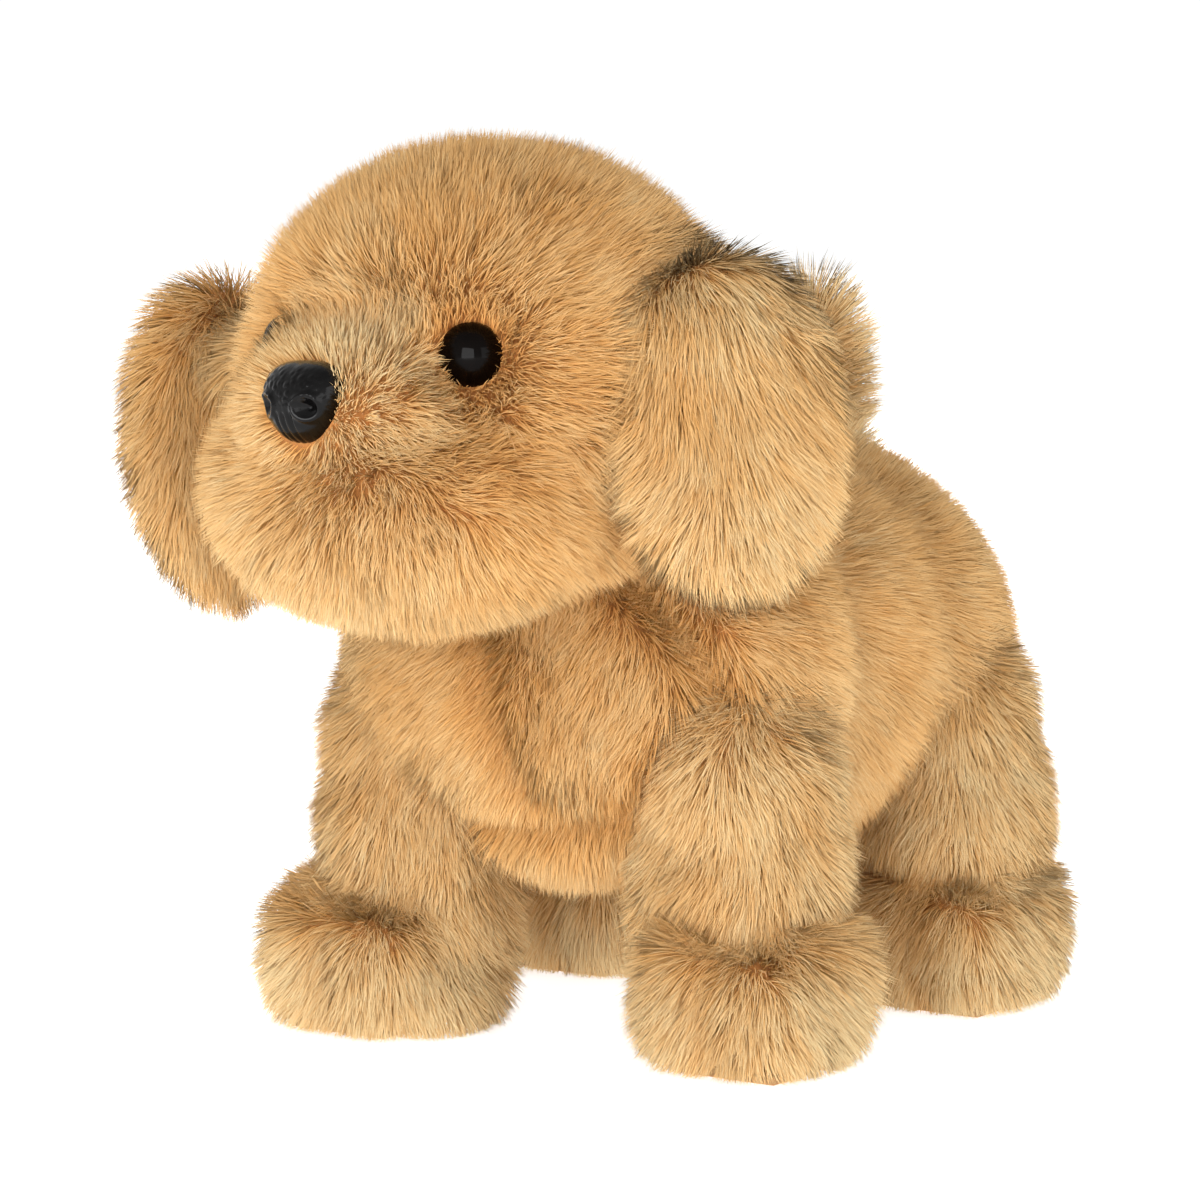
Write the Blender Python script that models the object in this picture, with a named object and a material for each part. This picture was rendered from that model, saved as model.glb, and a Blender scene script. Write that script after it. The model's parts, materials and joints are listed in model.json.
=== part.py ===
"""Walking plush puppy: fur covers over a motor-driven walking mechanism.

The dog faces -Y and its left side is +X.  The floor is z = 0.
Lengths below are in millimetres and are turned into metres by MM.
"""
import math

import bmesh
import bpy
import numpy as np
from mathutils import Matrix, Vector

MM = 0.001

# ---------------------------------------------------------------- driving sizes
# Place of the dog's own frame (midway between the feet) in the part's frame.
DOG_ORIGIN = (7.2, 24.6, 0.0)
GAP = 0.3                      # clearance between neighbouring pieces
SKIN = 8.0                     # fabric backing and pile together
HEAD_WALL = 11.0               # the head cover is padded, so that the eyes can sit deep
PAD_GAP = 2.5                  # the fillings stay this far inside the covers

# Head
NECK_PIVOT = (0.0, -40.0, 112.0)
HEAD_YAW = -6.0                # the head looks a little to the dog's right
HEAD_CENTRE = (0.0, -27.0, 27.0)       # from the neck pivot, before the turn
EYE_PLACE, EYE_TURN = (24.5, -32.0, 6.0), 27.0       # left eye; the right one mirrors it
EYE_RADIUS, EYE_DOME, EYE_SHANK, EYE_WASHER = 6.5, 4.4, 11.2, 9.4
NOSE_PLACE = (0.0, -50.0, -3.0)
NOSE_RADIUS, NOSE_DOME, NOSE_SHANK, NOSE_WASHER = 9.8, 8.0, 14.6, 12.6
SHANK_RADIUS = 1.7
EAR_PIVOT = (45.0, 8.0, 26.0)          # left ear's root, from the head's centre

# Legs: hips and feet
HIP_Z = 60.0
FRONT_HIP_Y = -38.0
REAR_HIP_Y = 42.0
FOOT_X = 45.0
STRIDE = 4.0                   # right feet stand this far forward, left feet back
PLATE_X = (23.5, 26.5)         # inner and outer face of a leg frame's plate
HIP_PIN_RADIUS = 2.0
ROD_DROP = 9.0                 # the link rods hang this far below the hips
ROD_X = (20.2, 23.2)
STUD_RADIUS = 1.5
SOLE_X = (33.0, 57.0)
SOLE_LENGTH = (-18.0, 10.0)    # from the middle of the foot
SOLE_THICK = 2.0
FOOT_BAR_Z = (5.5, 11.5)

# Gear train
MODULE = 0.7
PINION_TEETH = 8
WHEEL_TEETH = 24
AXLE_SPACING = MODULE * (PINION_TEETH + WHEEL_TEETH) / 2 + 0.15
CRANK_AXIS = (FRONT_HIP_Y, HIP_Z + 15.0)
CRANK_THROW = 3.2
CRANK_RADIUS = 1.5
CRANK_DISC_X = (19.4, 21.6)
SECOND_AXIS = (-17.0, 74.0)
GEAR_PLANES = ((12.2, 15.4), (8.4, 11.6), (4.6, 7.8))    # motor side to crank side
GEAR_PIN_RADIUS = 1.0
MOTOR_X = (-16.5, 7.8)
MOTOR_HALF_WIDTH, MOTOR_HALF_HEIGHT = 10.0, 7.5

# Chassis
GEARBOX = ((-19.0, -49.5, 52.0), (19.0, -4.0, 90.0))
BATTERY_BOX = ((-19.0, -3.5, 50.0), (19.0, 52.0, 68.0))
WALL = 1.6
CELL_RADIUS = 7.1
CELL_LENGTH = 48.5
CELL_NUB = 1.6
NUB_RADIUS = 2.7
CONTACT_X, CONTACT_Z, CONTACT_THICK = 14.0, (52.0, 65.0), 0.5
DOOR_X, DOOR_THICK, DOOR_INSET, SCREW_INSET = 14.0, 2.4, 4.0, 4.0
BELLY_OPENING = ((-15, -33, 10), (15, 50, 66))
SWITCH_Y = -24.0

# Neck
NECK_PIN_RADIUS = 1.5
FORK_HALF, FORK_GAP = 9.0, 5.8
NECK_STEM = 27.0               # from the nodding pin to the plate the head is sewn to

# Tail
TAIL_PIVOT = (0.0, 55.0, 95.0)
TAIL_PIN_RADIUS = 1.5
TAIL_CORE_RADIUS = 1.8


# ---------------------------------------------------------------- scene helpers
def clear_scene():
    for old in list(bpy.data.objects):
        bpy.data.objects.remove(old, do_unlink=True)
    for old in list(bpy.data.collections):
        bpy.data.collections.remove(old)


def collection(name):
    made = bpy.data.collections.new(name)
    bpy.context.scene.collection.children.link(made)
    return made


def material(name, colour, roughness, metallic=0.0):
    """One Principled material; the colour is linear RGB."""
    made = bpy.data.materials.new(name)
    made.use_nodes = True
    shader = made.node_tree.nodes["Principled BSDF"]
    shader.inputs["Base Color"].default_value = (*colour, 1.0)
    shader.inputs["Roughness"].default_value = roughness
    shader.inputs["Metallic"].default_value = metallic
    return made


def empty(name, place, parent=None, turn=0.0):
    """An empty on a joint axis, given in the frame of its parent."""
    made = bpy.data.objects.new(name, None)
    PARTS.objects.link(made)
    made.location = Vector(place) * MM
    made.rotation_euler = (0.0, 0.0, math.radians(turn))
    made.parent = parent
    return made


def add_object(name, bm, parent, paint=None, smooth=35.0):
    """Make an object from a bmesh in millimetres; without paint it is a cutter."""
    mesh = bpy.data.meshes.new(name)
    bmesh.ops.recalc_face_normals(bm, faces=bm.faces)
    bm.to_mesh(mesh)
    bm.free()
    mesh.transform(Matrix.Scale(MM, 4))
    if smooth:
        mesh.shade_smooth()
        mesh.set_sharp_from_angle(angle=math.radians(smooth))
    made = bpy.data.objects.new(name, mesh)
    made.parent = parent
    if paint is None:
        CUTTERS.objects.link(made)
        made.hide_render = True
        made.display_type = "WIRE"
    else:
        PARTS.objects.link(made)
        mesh.materials.append(paint)
    return made


def boolean(target, tool, operation="DIFFERENCE"):
    step = target.modifiers.new(operation.title(), "BOOLEAN")
    step.operation = operation
    step.solver = "EXACT"
    step.object = tool


def cut(target, *tools):
    for tool in tools:
        boolean(target, tool)


# ---------------------------------------------------------------- shape helpers
def box(low, high, bevel=0.0):
    """A box between two corners, with its edges rounded by bevel."""
    low, high = Vector(low), Vector(high)
    bm = bmesh.new()
    bmesh.ops.create_cube(bm, size=1.0)
    bmesh.ops.scale(bm, vec=high - low, verts=bm.verts)
    bmesh.ops.translate(bm, vec=(low + high) / 2, verts=bm.verts)
    if bevel:
        bmesh.ops.bevel(bm, geom=list(bm.edges), offset=bevel, segments=2, affect="EDGES", profile=0.5)
    return bm


def rod(start, end, radius, segments=16):
    """A cylinder from start to end."""
    start, end = Vector(start), Vector(end)
    along = end - start
    bm = bmesh.new()
    bmesh.ops.create_cone(bm, cap_ends=True, segments=segments, radius1=radius, radius2=radius,
                          depth=along.length)
    bmesh.ops.rotate(bm, matrix=along.to_track_quat("Z", "Y").to_matrix(), verts=bm.verts)
    bmesh.ops.translate(bm, vec=(start + end) / 2, verts=bm.verts)
    return bm


def smooth_stations(stations, steps):
    """Catmull-Rom points between stations, so a few sections give a round form."""
    knots = np.array(stations, dtype=float)
    ends = np.vstack([2 * knots[0] - knots[1], knots, 2 * knots[-1] - knots[-2]])
    points = []
    for i in range(1, len(ends) - 2):
        a, b, c, d = ends[i - 1:i + 3]
        for t in np.linspace(0.0, 1.0, steps, endpoint=False):
            points.append(0.5 * (2 * b + (c - a) * t + (2 * a - 5 * b + 4 * c - d) * t ** 2
                                 + (3 * b - a - 3 * c + d) * t ** 3))
    points.append(knots[-1])
    return points


def loft(stations, axis="Z", segments=24, steps=2, grow=0.0):
    """A closed form through oval sections.

    A station is (height along axis, centre u, centre v, half width u, half width v),
    where u, v are x, y for a form along Z and x, z for a form along Y.  The radii
    grow by grow, and the end sections move out by it as well.
    """
    rows = smooth_stations(stations, steps)
    low, high = rows[0][0], rows[-1][0]
    middle = (low + high) / 2
    bm = bmesh.new()
    rings = []
    for t, cu, cv, ru, rv in rows:
        t = middle + (t - middle) * (1 + 2 * grow / abs(high - low))
        ring = []
        for k in range(segments):
            turn = 2 * math.pi * k / segments
            u = cu + max(ru + grow, 1.0) * math.cos(turn)
            v = cv + max(rv + grow, 1.0) * math.sin(turn)
            ring.append(bm.verts.new((u, v, t) if axis == "Z" else (u, t, v)))
        rings.append(ring)
    for below, above in zip(rings, rings[1:]):
        for k in range(segments):
            n = (k + 1) % segments
            bm.faces.new((below[k], below[n], above[n], above[k]))
    for ring in (rings[0], rings[-1]):
        centre = bm.verts.new(sum((v.co for v in ring), Vector()) / segments)
        for k in range(segments):
            bm.faces.new((ring[k], ring[(k + 1) % segments], centre))
    return bm


def turned(profile, segments=24):
    """A solid of revolution about Z from (radius, height) points, top to bottom."""
    bm = bmesh.new()
    verts = [bm.verts.new((radius, 0.0, height)) for radius, height in profile]
    for a, b in zip(verts, verts[1:]):
        bm.edges.new((a, b))
    bmesh.ops.spin(bm, geom=list(bm.verts) + list(bm.edges), cent=(0, 0, 0), axis=(0, 0, 1),
                   angle=2 * math.pi, steps=segments, use_merge=False, use_duplicate=False)
    bmesh.ops.remove_doubles(bm, verts=bm.verts, dist=0.001)
    bmesh.ops.recalc_face_normals(bm, faces=bm.faces)
    return bm


def plate(outline, low, high):
    """A flat outline in the (y, z) plane, thick from x = low to x = high."""
    bm = bmesh.new()
    face = bm.faces.new([bm.verts.new((low, y, z)) for y, z in outline])
    swept = bmesh.ops.extrude_face_region(bm, geom=[face])
    moved = [item for item in swept["geom"] if isinstance(item, bmesh.types.BMVert)]
    bmesh.ops.translate(bm, vec=(high - low, 0, 0), verts=moved)
    return bm


def arc(cy, cz, radius, start, end, points):
    """Points on an arc in the (y, z) plane, angles in degrees."""
    turns = [math.radians(start + (end - start) * i / (points - 1)) for i in range(points)]
    return [(cy + radius * math.cos(t), cz + radius * math.sin(t)) for t in turns]


def stadium(a, b, radius_a, radius_b, points=9):
    """Two round ends joined by straight sides, from point a to point b in (y, z)."""
    heading = math.degrees(math.atan2(b[1] - a[1], b[0] - a[0]))
    return (arc(*b, radius_b, heading - 90, heading + 90, points)
            + arc(*a, radius_a, heading + 90, heading + 270, points))


def gear_outline(axis, teeth, phase):
    """Straight-flanked teeth about axis in (y, z); phase is one tooth's angle in radians."""
    pitch = 2 * math.pi / teeth
    root = MODULE * (teeth / 2 - 1.15)
    tip = MODULE * (teeth / 2 + 0.8)
    corners = ((-0.29, root), (-0.11, tip), (0.11, tip), (0.29, root))
    points = []
    for tooth in range(teeth):
        for share, radius in corners:
            angle = phase + pitch * (tooth + share)
            points.append((axis[0] + radius * math.cos(angle), axis[1] + radius * math.sin(angle)))
    return points


# ---------------------------------------------------------------- section tables
# Torso, along Y: (y, centre x, centre z, half width, half height)
TORSO = [(-68, 0, 84, 6, 6), (-64, 0, 84, 27, 22), (-54, 0, 83, 44, 35), (-36, 0, 81, 55, 44),
         (-10, 0, 78, 54, 44), (16, 0, 74, 51, 44), (42, 0, 69, 49, 45), (60, 0, 64, 42, 38),
         (72, 0, 60, 27, 24), (78, 0, 58, 6, 6)]
# Head, along Z from the head's centre: (z, centre x, centre y, half width, half depth)
HEAD = [(-47, 0, -12, 8, 8), (-43, 0, -14, 27, 31), (-32, 0, -12, 42, 48), (-18, 0, -9, 46, 50),
        (-4, 0, -4, 49.5, 49.5), (10, 0, 0, 49.5, 44.5), (22, 0, 1, 44, 41), (34, 0, 1, 34, 33),
        (43, 0, 2, 20, 19), (47, 0, 2, 6, 6)]
# Ear flap, along Z from its own centre: (z, centre x, centre y, half thickness, half width)
EAR = [(-42, 0, 0, 2, 4), (-37, 0, 0, 8, 16), (-20, 0, 0, 12, 26), (2, 0, 0, 12.5, 26),
       (22, 0, 0, 11, 19), (36, 0, 0, 8, 11), (42, 0, 0, 2, 3)]
# Leg cover, along Z: (z, centre x, offset y, half width, half depth)
LEG = [(2.4, FOOT_X, -3, 18, 21), (10, FOOT_X, -4, 20, 24.5), (22, FOOT_X, -2, 19, 22),
       (34, FOOT_X, 0, 17.5, 17.5), (50, FOOT_X, 0, 17.5, 18), (64, FOOT_X, 0, 17, 18),
       (74, FOOT_X, 0, 13, 14), (80, FOOT_X, 0, 4, 4)]
# Tail, along Z: (z, centre x, centre y, half width, half depth)
TAIL = [(104, 0, 56, 5, 5), (110, 0, 57, 10, 10), (124, 0, 59, 13, 13.5), (140, 0, 60, 12.5, 13),
        (152, 0, 60, 8, 8.5), (158, 0, 60, 2, 2)]


# ---------------------------------------------------------------- torso and chassis
def torso_cover(dog):
    cover = add_object("torso_cover", loft(TORSO, "Y", segments=20), dog, FUR)
    hollow = add_object("cut_torso_hollow", loft(TORSO, "Y", segments=16, steps=1, grow=-SKIN), dog)
    belly = add_object("cut_belly_opening", box(*BELLY_OPENING), dog)
    neck = add_object("cut_head_room", loft(HEAD, segments=16, steps=1, grow=6.5), HEAD_FRAME)
    tail = add_object("cut_tail_room", loft(TAIL, segments=12, steps=1, grow=3.5), dog)
    cut(cover, hollow, neck, belly, tail)
    rooms = {"gearbox": ((-19.6, -50.1, 51.4), (19.6, -3, 90.6)),
             "link_rods": ((-23.7, -45, 47.6), (23.7, 50, 90)),
             "tail_pin": ((-6, 46, 88), (6, 64, 101))}
    for name, (low, high) in rooms.items():
        cut(cover, add_object(f"cut_room_for_{name}", box(low, high), dog))
    inner, outer = PLATE_X[0] - 1.0, 75.0          # from inside the leg frame to past the cover
    leg_room, leg_half = 23.0, 26.0
    for side in (1, -1):
        for hip_y in (FRONT_HIP_Y, REAR_HIP_Y):
            swing = rod((side * inner, hip_y, HIP_Z), (side * outer, hip_y, HIP_Z), leg_room)
            near, far = sorted((side * inner, side * outer))
            slot = box((near, hip_y - leg_half, 10), (far, hip_y + leg_half, HIP_Z))
            cut(cover, add_object(f"cut_hip_{side}_{hip_y:.0f}", swing, dog),
                add_object(f"cut_leg_{side}_{hip_y:.0f}", slot, dog))


def back_stuffing(dog):
    """Polyester filling between the mechanism and the back of the cover."""
    pad_shape = loft(TORSO, "Y", segments=12, steps=1, grow=-SKIN - PAD_GAP)
    pad = add_object("back_stuffing", pad_shape, dog, FILLING)
    slab = add_object("cut_stuffing_slab", box((-60, -26, 93), (60, 46, 140)), dog)
    boolean(pad, slab, "INTERSECT")
    cut(pad, add_object("cut_stuffing_head", loft(HEAD, segments=12, steps=1, grow=9.0), HEAD_FRAME))


def gearbox(dog):
    """Two half shells that meet at x = 0 and carry the gear axles."""
    low, high = GEARBOX
    for side, name in ((1, "gearbox_left_shell"), (-1, "gearbox_right_shell")):
        x_out = side * high[0]
        x_in = side * GAP / 2
        near, far = sorted((x_in, x_out))
        shell = add_object(name, box((near, *low[1:]), (far, *high[1:])), dog, CASING, smooth=0)
        near, far = sorted((-side * WALL, side * (high[0] - WALL)))
        room = box((near, low[1] + WALL, low[2] + WALL), (far, high[1] - WALL, high[2] - WALL))
        bore = rod((side * 12, *CRANK_AXIS), (side * 25, *CRANK_AXIS), CRANK_RADIUS + GAP)
        cut(shell, add_object(f"cut_{name}", room, dog), add_object(f"cut_{name}_crank", bore, dog))


def axle(name, parent, axis, radius, low, high, paint):
    return add_object(name, rod((low, *axis), (high, *axis), radius), parent, paint)


def gear_train(dog):
    """Motor, two double gears and the crank gear, each in its own plane."""
    crank_y, crank_z = CRANK_AXIS
    second_y, second_z = SECOND_AXIS
    reach = math.hypot(crank_y - second_y, crank_z - second_z)
    rise = math.sqrt(AXLE_SPACING ** 2 - reach ** 2 / 4)
    across = ((crank_y - second_y) / reach, (crank_z - second_z) / reach)
    first_axis = SECOND_AXIS                                   # double gear next to the motor
    middle_axis = ((crank_y + second_y) / 2 + across[1] * rise,
                   (crank_z + second_z) / 2 - across[0] * rise)
    motor_axis = (first_axis[0], first_axis[1] - AXLE_SPACING)
    axes = (motor_axis, first_axis, middle_axis, CRANK_AXIS)

    bore = GEAR_PIN_RADIUS + GAP
    frames = [empty(f"axis_{name}", (0, *axis), dog) for name, axis in
              zip(("motor", "first_gear", "second_gear", "crank"), axes)]
    half_pitch = math.pi / WHEEL_TEETH
    driver = None
    for stage, name in enumerate(("first_double_gear", "second_double_gear", "crank_gear")):
        low, high = GEAR_PLANES[stage]
        here, there = axes[stage], axes[stage + 1]
        heading = math.atan2(there[1] - here[1], there[0] - here[0])
        reach = high if driver is None else high + 2.0     # a double gear's pinion runs into its wheel
        pinion = plate(gear_outline((0, 0), PINION_TEETH, heading), low, reach)
        if driver is None:
            driver = add_object("motor_pinion", pinion, frames[0], BRASS, smooth=0)
        else:
            boolean(driver, add_object(f"cut_pinion_{stage}", pinion, frames[stage]), "UNION")
        cut(driver, add_object(f"cut_pinion_bore_{stage}", rod((0, 0, 0), (20, 0, 0), bore), frames[stage]))
        wheel = plate(gear_outline((0, 0), WHEEL_TEETH, heading + math.pi + half_pitch), low, high)
        driver = add_object(name, wheel, frames[stage + 1], NYLON, smooth=0)
    crank_bore = CRANK_RADIUS + GAP
    cut(driver, add_object("cut_crank_gear", rod((0, 0, 0), (20, 0, 0), crank_bore), frames[3]))

    inner = GEARBOX[1][0] - WALL - GAP
    axle("first_gear_pin", dog, first_axis, GEAR_PIN_RADIUS, -inner, inner, STEEL)
    axle("second_gear_pin", dog, middle_axis, GEAR_PIN_RADIUS, -inner, inner, STEEL)
    axle("motor_shaft", frames[0], (0, 0), GEAR_PIN_RADIUS, 8.2, 16.2, STEEL)
    axle("crank_shaft", frames[3], (0, 0), CRANK_RADIUS, -21.2, 21.2, STEEL)
    y, z = motor_axis
    can = box((MOTOR_X[0], y - MOTOR_HALF_WIDTH, z - MOTOR_HALF_HEIGHT),
              (MOTOR_X[1], y + MOTOR_HALF_WIDTH, z + MOTOR_HALF_HEIGHT), 2.5)
    add_object("motor_can", can, dog, STEEL)
    near, far = CRANK_DISC_X
    for side, name in ((1, "crank_disc_left"), (-1, "crank_disc_right")):
        disc = add_object(name, rod((side * near, 0, 0), (side * far, 0, 0), 6.0), frames[3], NYLON)
        pin_y = side * CRANK_THROW
        pin = rod((side * (far - 1.1), pin_y, 0), (side * (far + 1.5), pin_y, 0), STUD_RADIUS, segments=12)
        boolean(disc, add_object(f"cut_{name}_pin", pin, frames[3]), "UNION")
        hole = rod((side * 10, 0, 0), (side * (far - 0.3), 0, 0), crank_bore)
        cut(disc, add_object(f"cut_{name}_bore", hole, frames[3]))


def power_pack(dog):
    """Battery box, its lid, the two cells and their contacts, board and speaker."""
    low, high = BATTERY_BOX
    tub = add_object("battery_box", box(low, high), dog, CASING, smooth=0)
    room = box((low[0] + WALL, low[1] + WALL, low[2] - 5), (high[0] - WALL, high[1] - WALL, high[2] - WALL))
    cut(tub, add_object("cut_battery_room", room, dog))

    lid_frame = empty("axis_battery_door", (0, (low[1] + high[1]) / 2, low[2]), dog)
    half = (high[1] - low[1]) / 2 - DOOR_INSET
    lid_shape = box((-DOOR_X, -half, -DOOR_THICK), (DOOR_X, half, -GAP), 0.5)
    lid = add_object("battery_door", lid_shape, lid_frame, CASING, smooth=0)
    screw_y = half - SCREW_INSET
    cut(lid, add_object("cut_door_screw", rod((0, screw_y, -5), (0, screw_y, 5), 1.6), lid_frame))
    screw = turned([(0, 0.9), (2.6, 0.9), (2.6, 0), (1.2, 0), (1.2, -6), (0, -6)], 16)
    bmesh.ops.rotate(screw, matrix=Matrix.Rotation(math.pi, 3, "X"), verts=screw.verts)
    bmesh.ops.translate(screw, vec=(0, screw_y, -DOOR_THICK - GAP), verts=screw.verts)
    add_object("battery_door_screw", screw, lid_frame, STEEL)

    centre_z = low[2] + 1.2 + CELL_RADIUS
    front, rear = low[1] + WALL, high[1] - WALL
    end = CELL_LENGTH / 2
    profile = [(0, end + CELL_NUB), (NUB_RADIUS, end + CELL_NUB), (NUB_RADIUS, end),
               (CELL_RADIUS, end), (CELL_RADIUS, -end), (0, -end)]
    for side, name in ((1, "battery_left"), (-1, "battery_right")):
        x = side * (CELL_RADIUS + 0.5)
        cell = turned(profile, 20)
        bmesh.ops.rotate(cell, matrix=Matrix.Rotation(side * math.pi / 2, 3, "X"), verts=cell.verts)
        centre_y = (front + rear) / 2 + side * CELL_NUB / 2
        bmesh.ops.translate(cell, vec=(x, centre_y, centre_z), verts=cell.verts)
        add_object(name, cell, dog, CELL)
    for name, y in (("front", front + GAP), ("rear", rear - GAP - CONTACT_THICK)):
        strip = box((-CONTACT_X, y, CONTACT_Z[0]), (CONTACT_X, y + CONTACT_THICK, CONTACT_Z[1]))
        add_object(f"battery_contact_{name}", strip, dog, STEEL, smooth=0)

    add_object("circuit_board", box((-16, 0, 70.2), (16, 44, 71.8)), dog, BOARD, smooth=0)
    cone = [(0, 3.4), (6, 3.4), (13, 6.8), (14, 6.8), (14, 5.8), (8, 1.8), (8, -3.2), (0, -3.2)]
    speaker = turned(cone, 20)
    bmesh.ops.translate(speaker, vec=(0, 20, 78), verts=speaker.verts)
    add_object("speaker", speaker, dog, RUBBER)


def power_switch(dog):
    """Slide switch under the chest; its knob travels from side to side."""
    y, top = SWITCH_Y, GEARBOX[0][2] - GAP
    body = box((-7, y - 4, top - 4.5), (7, y + 4, top))
    housing = add_object("switch_housing", body, dog, RUBBER, smooth=0)
    cut(housing, add_object("cut_switch_slot", box((-5, y - 2, top - 9), (5, y + 2, top - 1.5)), dog))
    slider_frame = empty("axis_power_switch", (-2.0, y, top - 4.5), dog)
    add_object("switch_slider", box((-2.2, -1.6, -3.0), (2.2, 1.6, 2.4), 0.4), slider_frame, CASING, smooth=0)


# ---------------------------------------------------------------- legs
def leg(name, dog, side, hip_y, has_slot):
    """Frame with foot bar, fur cover, sole and hip pin of one leg."""
    shift = side * STRIDE
    hip = empty(f"axis_{name}_leg", (0, hip_y, HIP_Z), dog)
    top = (0.0, 17.0 if has_slot else 3.0)
    ankle = (shift, 14.0 - HIP_Z)
    x_in, x_out = (side * v for v in PLATE_X)
    outline = stadium(ankle, top, 5.0, 5.5)
    frame = add_object(f"{name}_leg_frame", plate(outline, min(x_in, x_out), max(x_in, x_out)), hip, CASING)
    near, far = sorted((side * (PLATE_X[1] - 1.5), side * 59.0))
    bar_z = [z - HIP_Z for z in FOOT_BAR_Z]
    bar = box((near, shift - 9, bar_z[0]), (far, shift + 9, bar_z[1]))
    boolean(frame, add_object(f"cut_{name}_bar", bar, hip), "UNION")
    hip_bore = rod((side * 20, 0, 0), (side * 30, 0, 0), HIP_PIN_RADIUS + GAP)
    rod_bore = rod((side * 20, 0, -ROD_DROP), (side * 30, 0, -ROD_DROP), STUD_RADIUS + GAP, segments=12)
    cut(frame, add_object(f"cut_{name}_hip_bore", hip_bore, hip),
        add_object(f"cut_{name}_rod_bore", rod_bore, hip))
    if has_slot:
        slot = stadium((0, 11.0), (0, 19.0), 2.0, 2.0, points=7)
        cut(frame, add_object(f"cut_{name}_slot", plate(slot, *sorted((side * 20, side * 30))), hip))

    sections = []
    for z, x, y, half_x, half_y in LEG:
        lean = shift * min(1.0, max(0.0, (HIP_Z - z) / (HIP_Z - 20.0)))
        sections.append((z - HIP_Z, side * x, y + lean, half_x, half_y))
    shape = loft(sections, segments=16, steps=1)
    for v in shape.verts:
        v.co.x = side * max(side * v.co.x, PLATE_X[1] + 0.5)     # flat beside the leg frame
    cover = add_object(f"{name}_leg_cover", shape, hip, FUR)
    near, far = sorted((side * 20, side * 59.5))
    room = box((near, shift - 9.5, bar_z[0] - 0.5), (far, shift + 9.5, bar_z[1] + 0.5))
    cut(cover, add_object(f"cut_{name}_foot_room", room, hip))

    near, far = sorted(side * x for x in SOLE_X)
    pad = box((near, shift + SOLE_LENGTH[0], -HIP_Z), (far, shift + SOLE_LENGTH[1], SOLE_THICK - HIP_Z), 0.6)
    add_object(f"{name}_sole", pad, hip, SOLE_RUBBER, smooth=0)
    near, far = sorted((side * (GEARBOX[1][0] + GAP), side * PLATE_X[1]))
    axle(f"{name}_hip_pin", dog, (hip_y, HIP_Z), HIP_PIN_RADIUS, near, far, STEEL)
    return hip


def link_rod(name, hip, side):
    """Rod that makes the rear leg follow the front leg on the same side."""
    joint = empty(f"axis_{name}", (0, 0, -ROD_DROP), hip)
    span = REAR_HIP_Y - FRONT_HIP_Y
    low, high = sorted(side * v for v in ROD_X)
    bar = add_object(name, plate(stadium((0, 0), (span, 0), 2.4, 2.4), low, high), joint, NYLON)
    for k, y in enumerate((0, span)):
        start, end = side * (ROD_X[1] - 0.8), side * (PLATE_X[1] - 0.4)
        stud = rod((start, y, 0), (end, y, 0), STUD_RADIUS, segments=12)
        boolean(bar, add_object(f"cut_{name}_stud_{k}", stud, joint), "UNION")


# ---------------------------------------------------------------- head
def neck(dog, head):
    x, y, z = NECK_PIVOT
    base = GEARBOX[1][2] + GAP
    block = box((-FORK_HALF, y - 6, base), (FORK_HALF, y + 6, z + 6))
    bracket = add_object("neck_bracket", block, dog, CASING, smooth=0)
    fork = box((-FORK_GAP, y - 9, base + 4), (FORK_GAP, y + 9, z + 12))
    cut(bracket, add_object("cut_neck_fork", fork, dog),
        add_object("cut_neck_pin", rod((-15, y, z), (15, y, z), NECK_PIN_RADIUS + GAP), dog))
    axle("neck_pin", dog, (y, z), NECK_PIN_RADIUS, -FORK_HALF - 0.5, FORK_HALF + 0.5, STEEL)
    post = add_object("neck_post", rod((-5.5, 0, 0), (5.5, 0, 0), 4.5), head, CASING)
    plate_z = NECK_STEM - 2.5
    stem = turned([(0, NECK_STEM), (10, NECK_STEM), (10, plate_z), (3.2, plate_z), (3.2, 1), (0, 1)], 16)
    boolean(post, add_object("cut_neck_stem", stem, head), "UNION")
    cut(post, add_object("cut_neck_post_bore", rod((-9, 0, 0), (9, 0, 0), NECK_PIN_RADIUS + GAP), head))


def facing(bm, place, turn):
    """Turn a solid made about +Z to look along -Y, swung by turn degrees towards +X."""
    aim = Matrix.Rotation(math.radians(turn), 3, "Z") @ Matrix.Rotation(math.pi / 2, 3, "X")
    bmesh.ops.rotate(bm, matrix=aim, verts=bm.verts)
    bmesh.ops.translate(bm, vec=place, verts=bm.verts)
    return bm


def button(radius, height, shank, squeeze=1.0):
    """A domed button with a flat back and a shank; squeeze flattens its height."""
    dome = [(radius * math.sin(t), height * math.cos(t)) for t in np.linspace(0, math.pi / 2, 6)]
    back = [(radius, -0.8), (SHANK_RADIUS, -0.8), (SHANK_RADIUS, -shank), (0, -shank)]
    bm = turned(dome + back, 16)
    bmesh.ops.scale(bm, vec=(1.0, squeeze, 1.0), verts=bm.verts)
    return bm


def washer(depth):
    """A lock washer on a button's shank, its face depth behind the button."""
    hole, rim, thick = SHANK_RADIUS + GAP + 0.1, 5.5, 1.2
    back = -depth - thick
    return turned([(hole, -depth), (rim, -depth), (rim, back), (hole, back), (hole, -depth)], 16)


def button_socket(radius, depth):
    """Cutter for a button's seat in the cover, open outwards, with a hole for its shank."""
    hole, floor = SHANK_RADIUS + GAP + 0.1, -1.1
    return turned([(0, 25), (radius, 25), (radius, floor), (hole, floor), (hole, -depth), (0, -depth)], 16)


def washer_room(shank):
    """Cutter that clears the filling around a button's washer and the end of its shank."""
    rim, end = 8.0, -shank - 1.5
    return turned([(0, 5), (rim, 5), (rim, end), (0, end)], 16)


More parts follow.
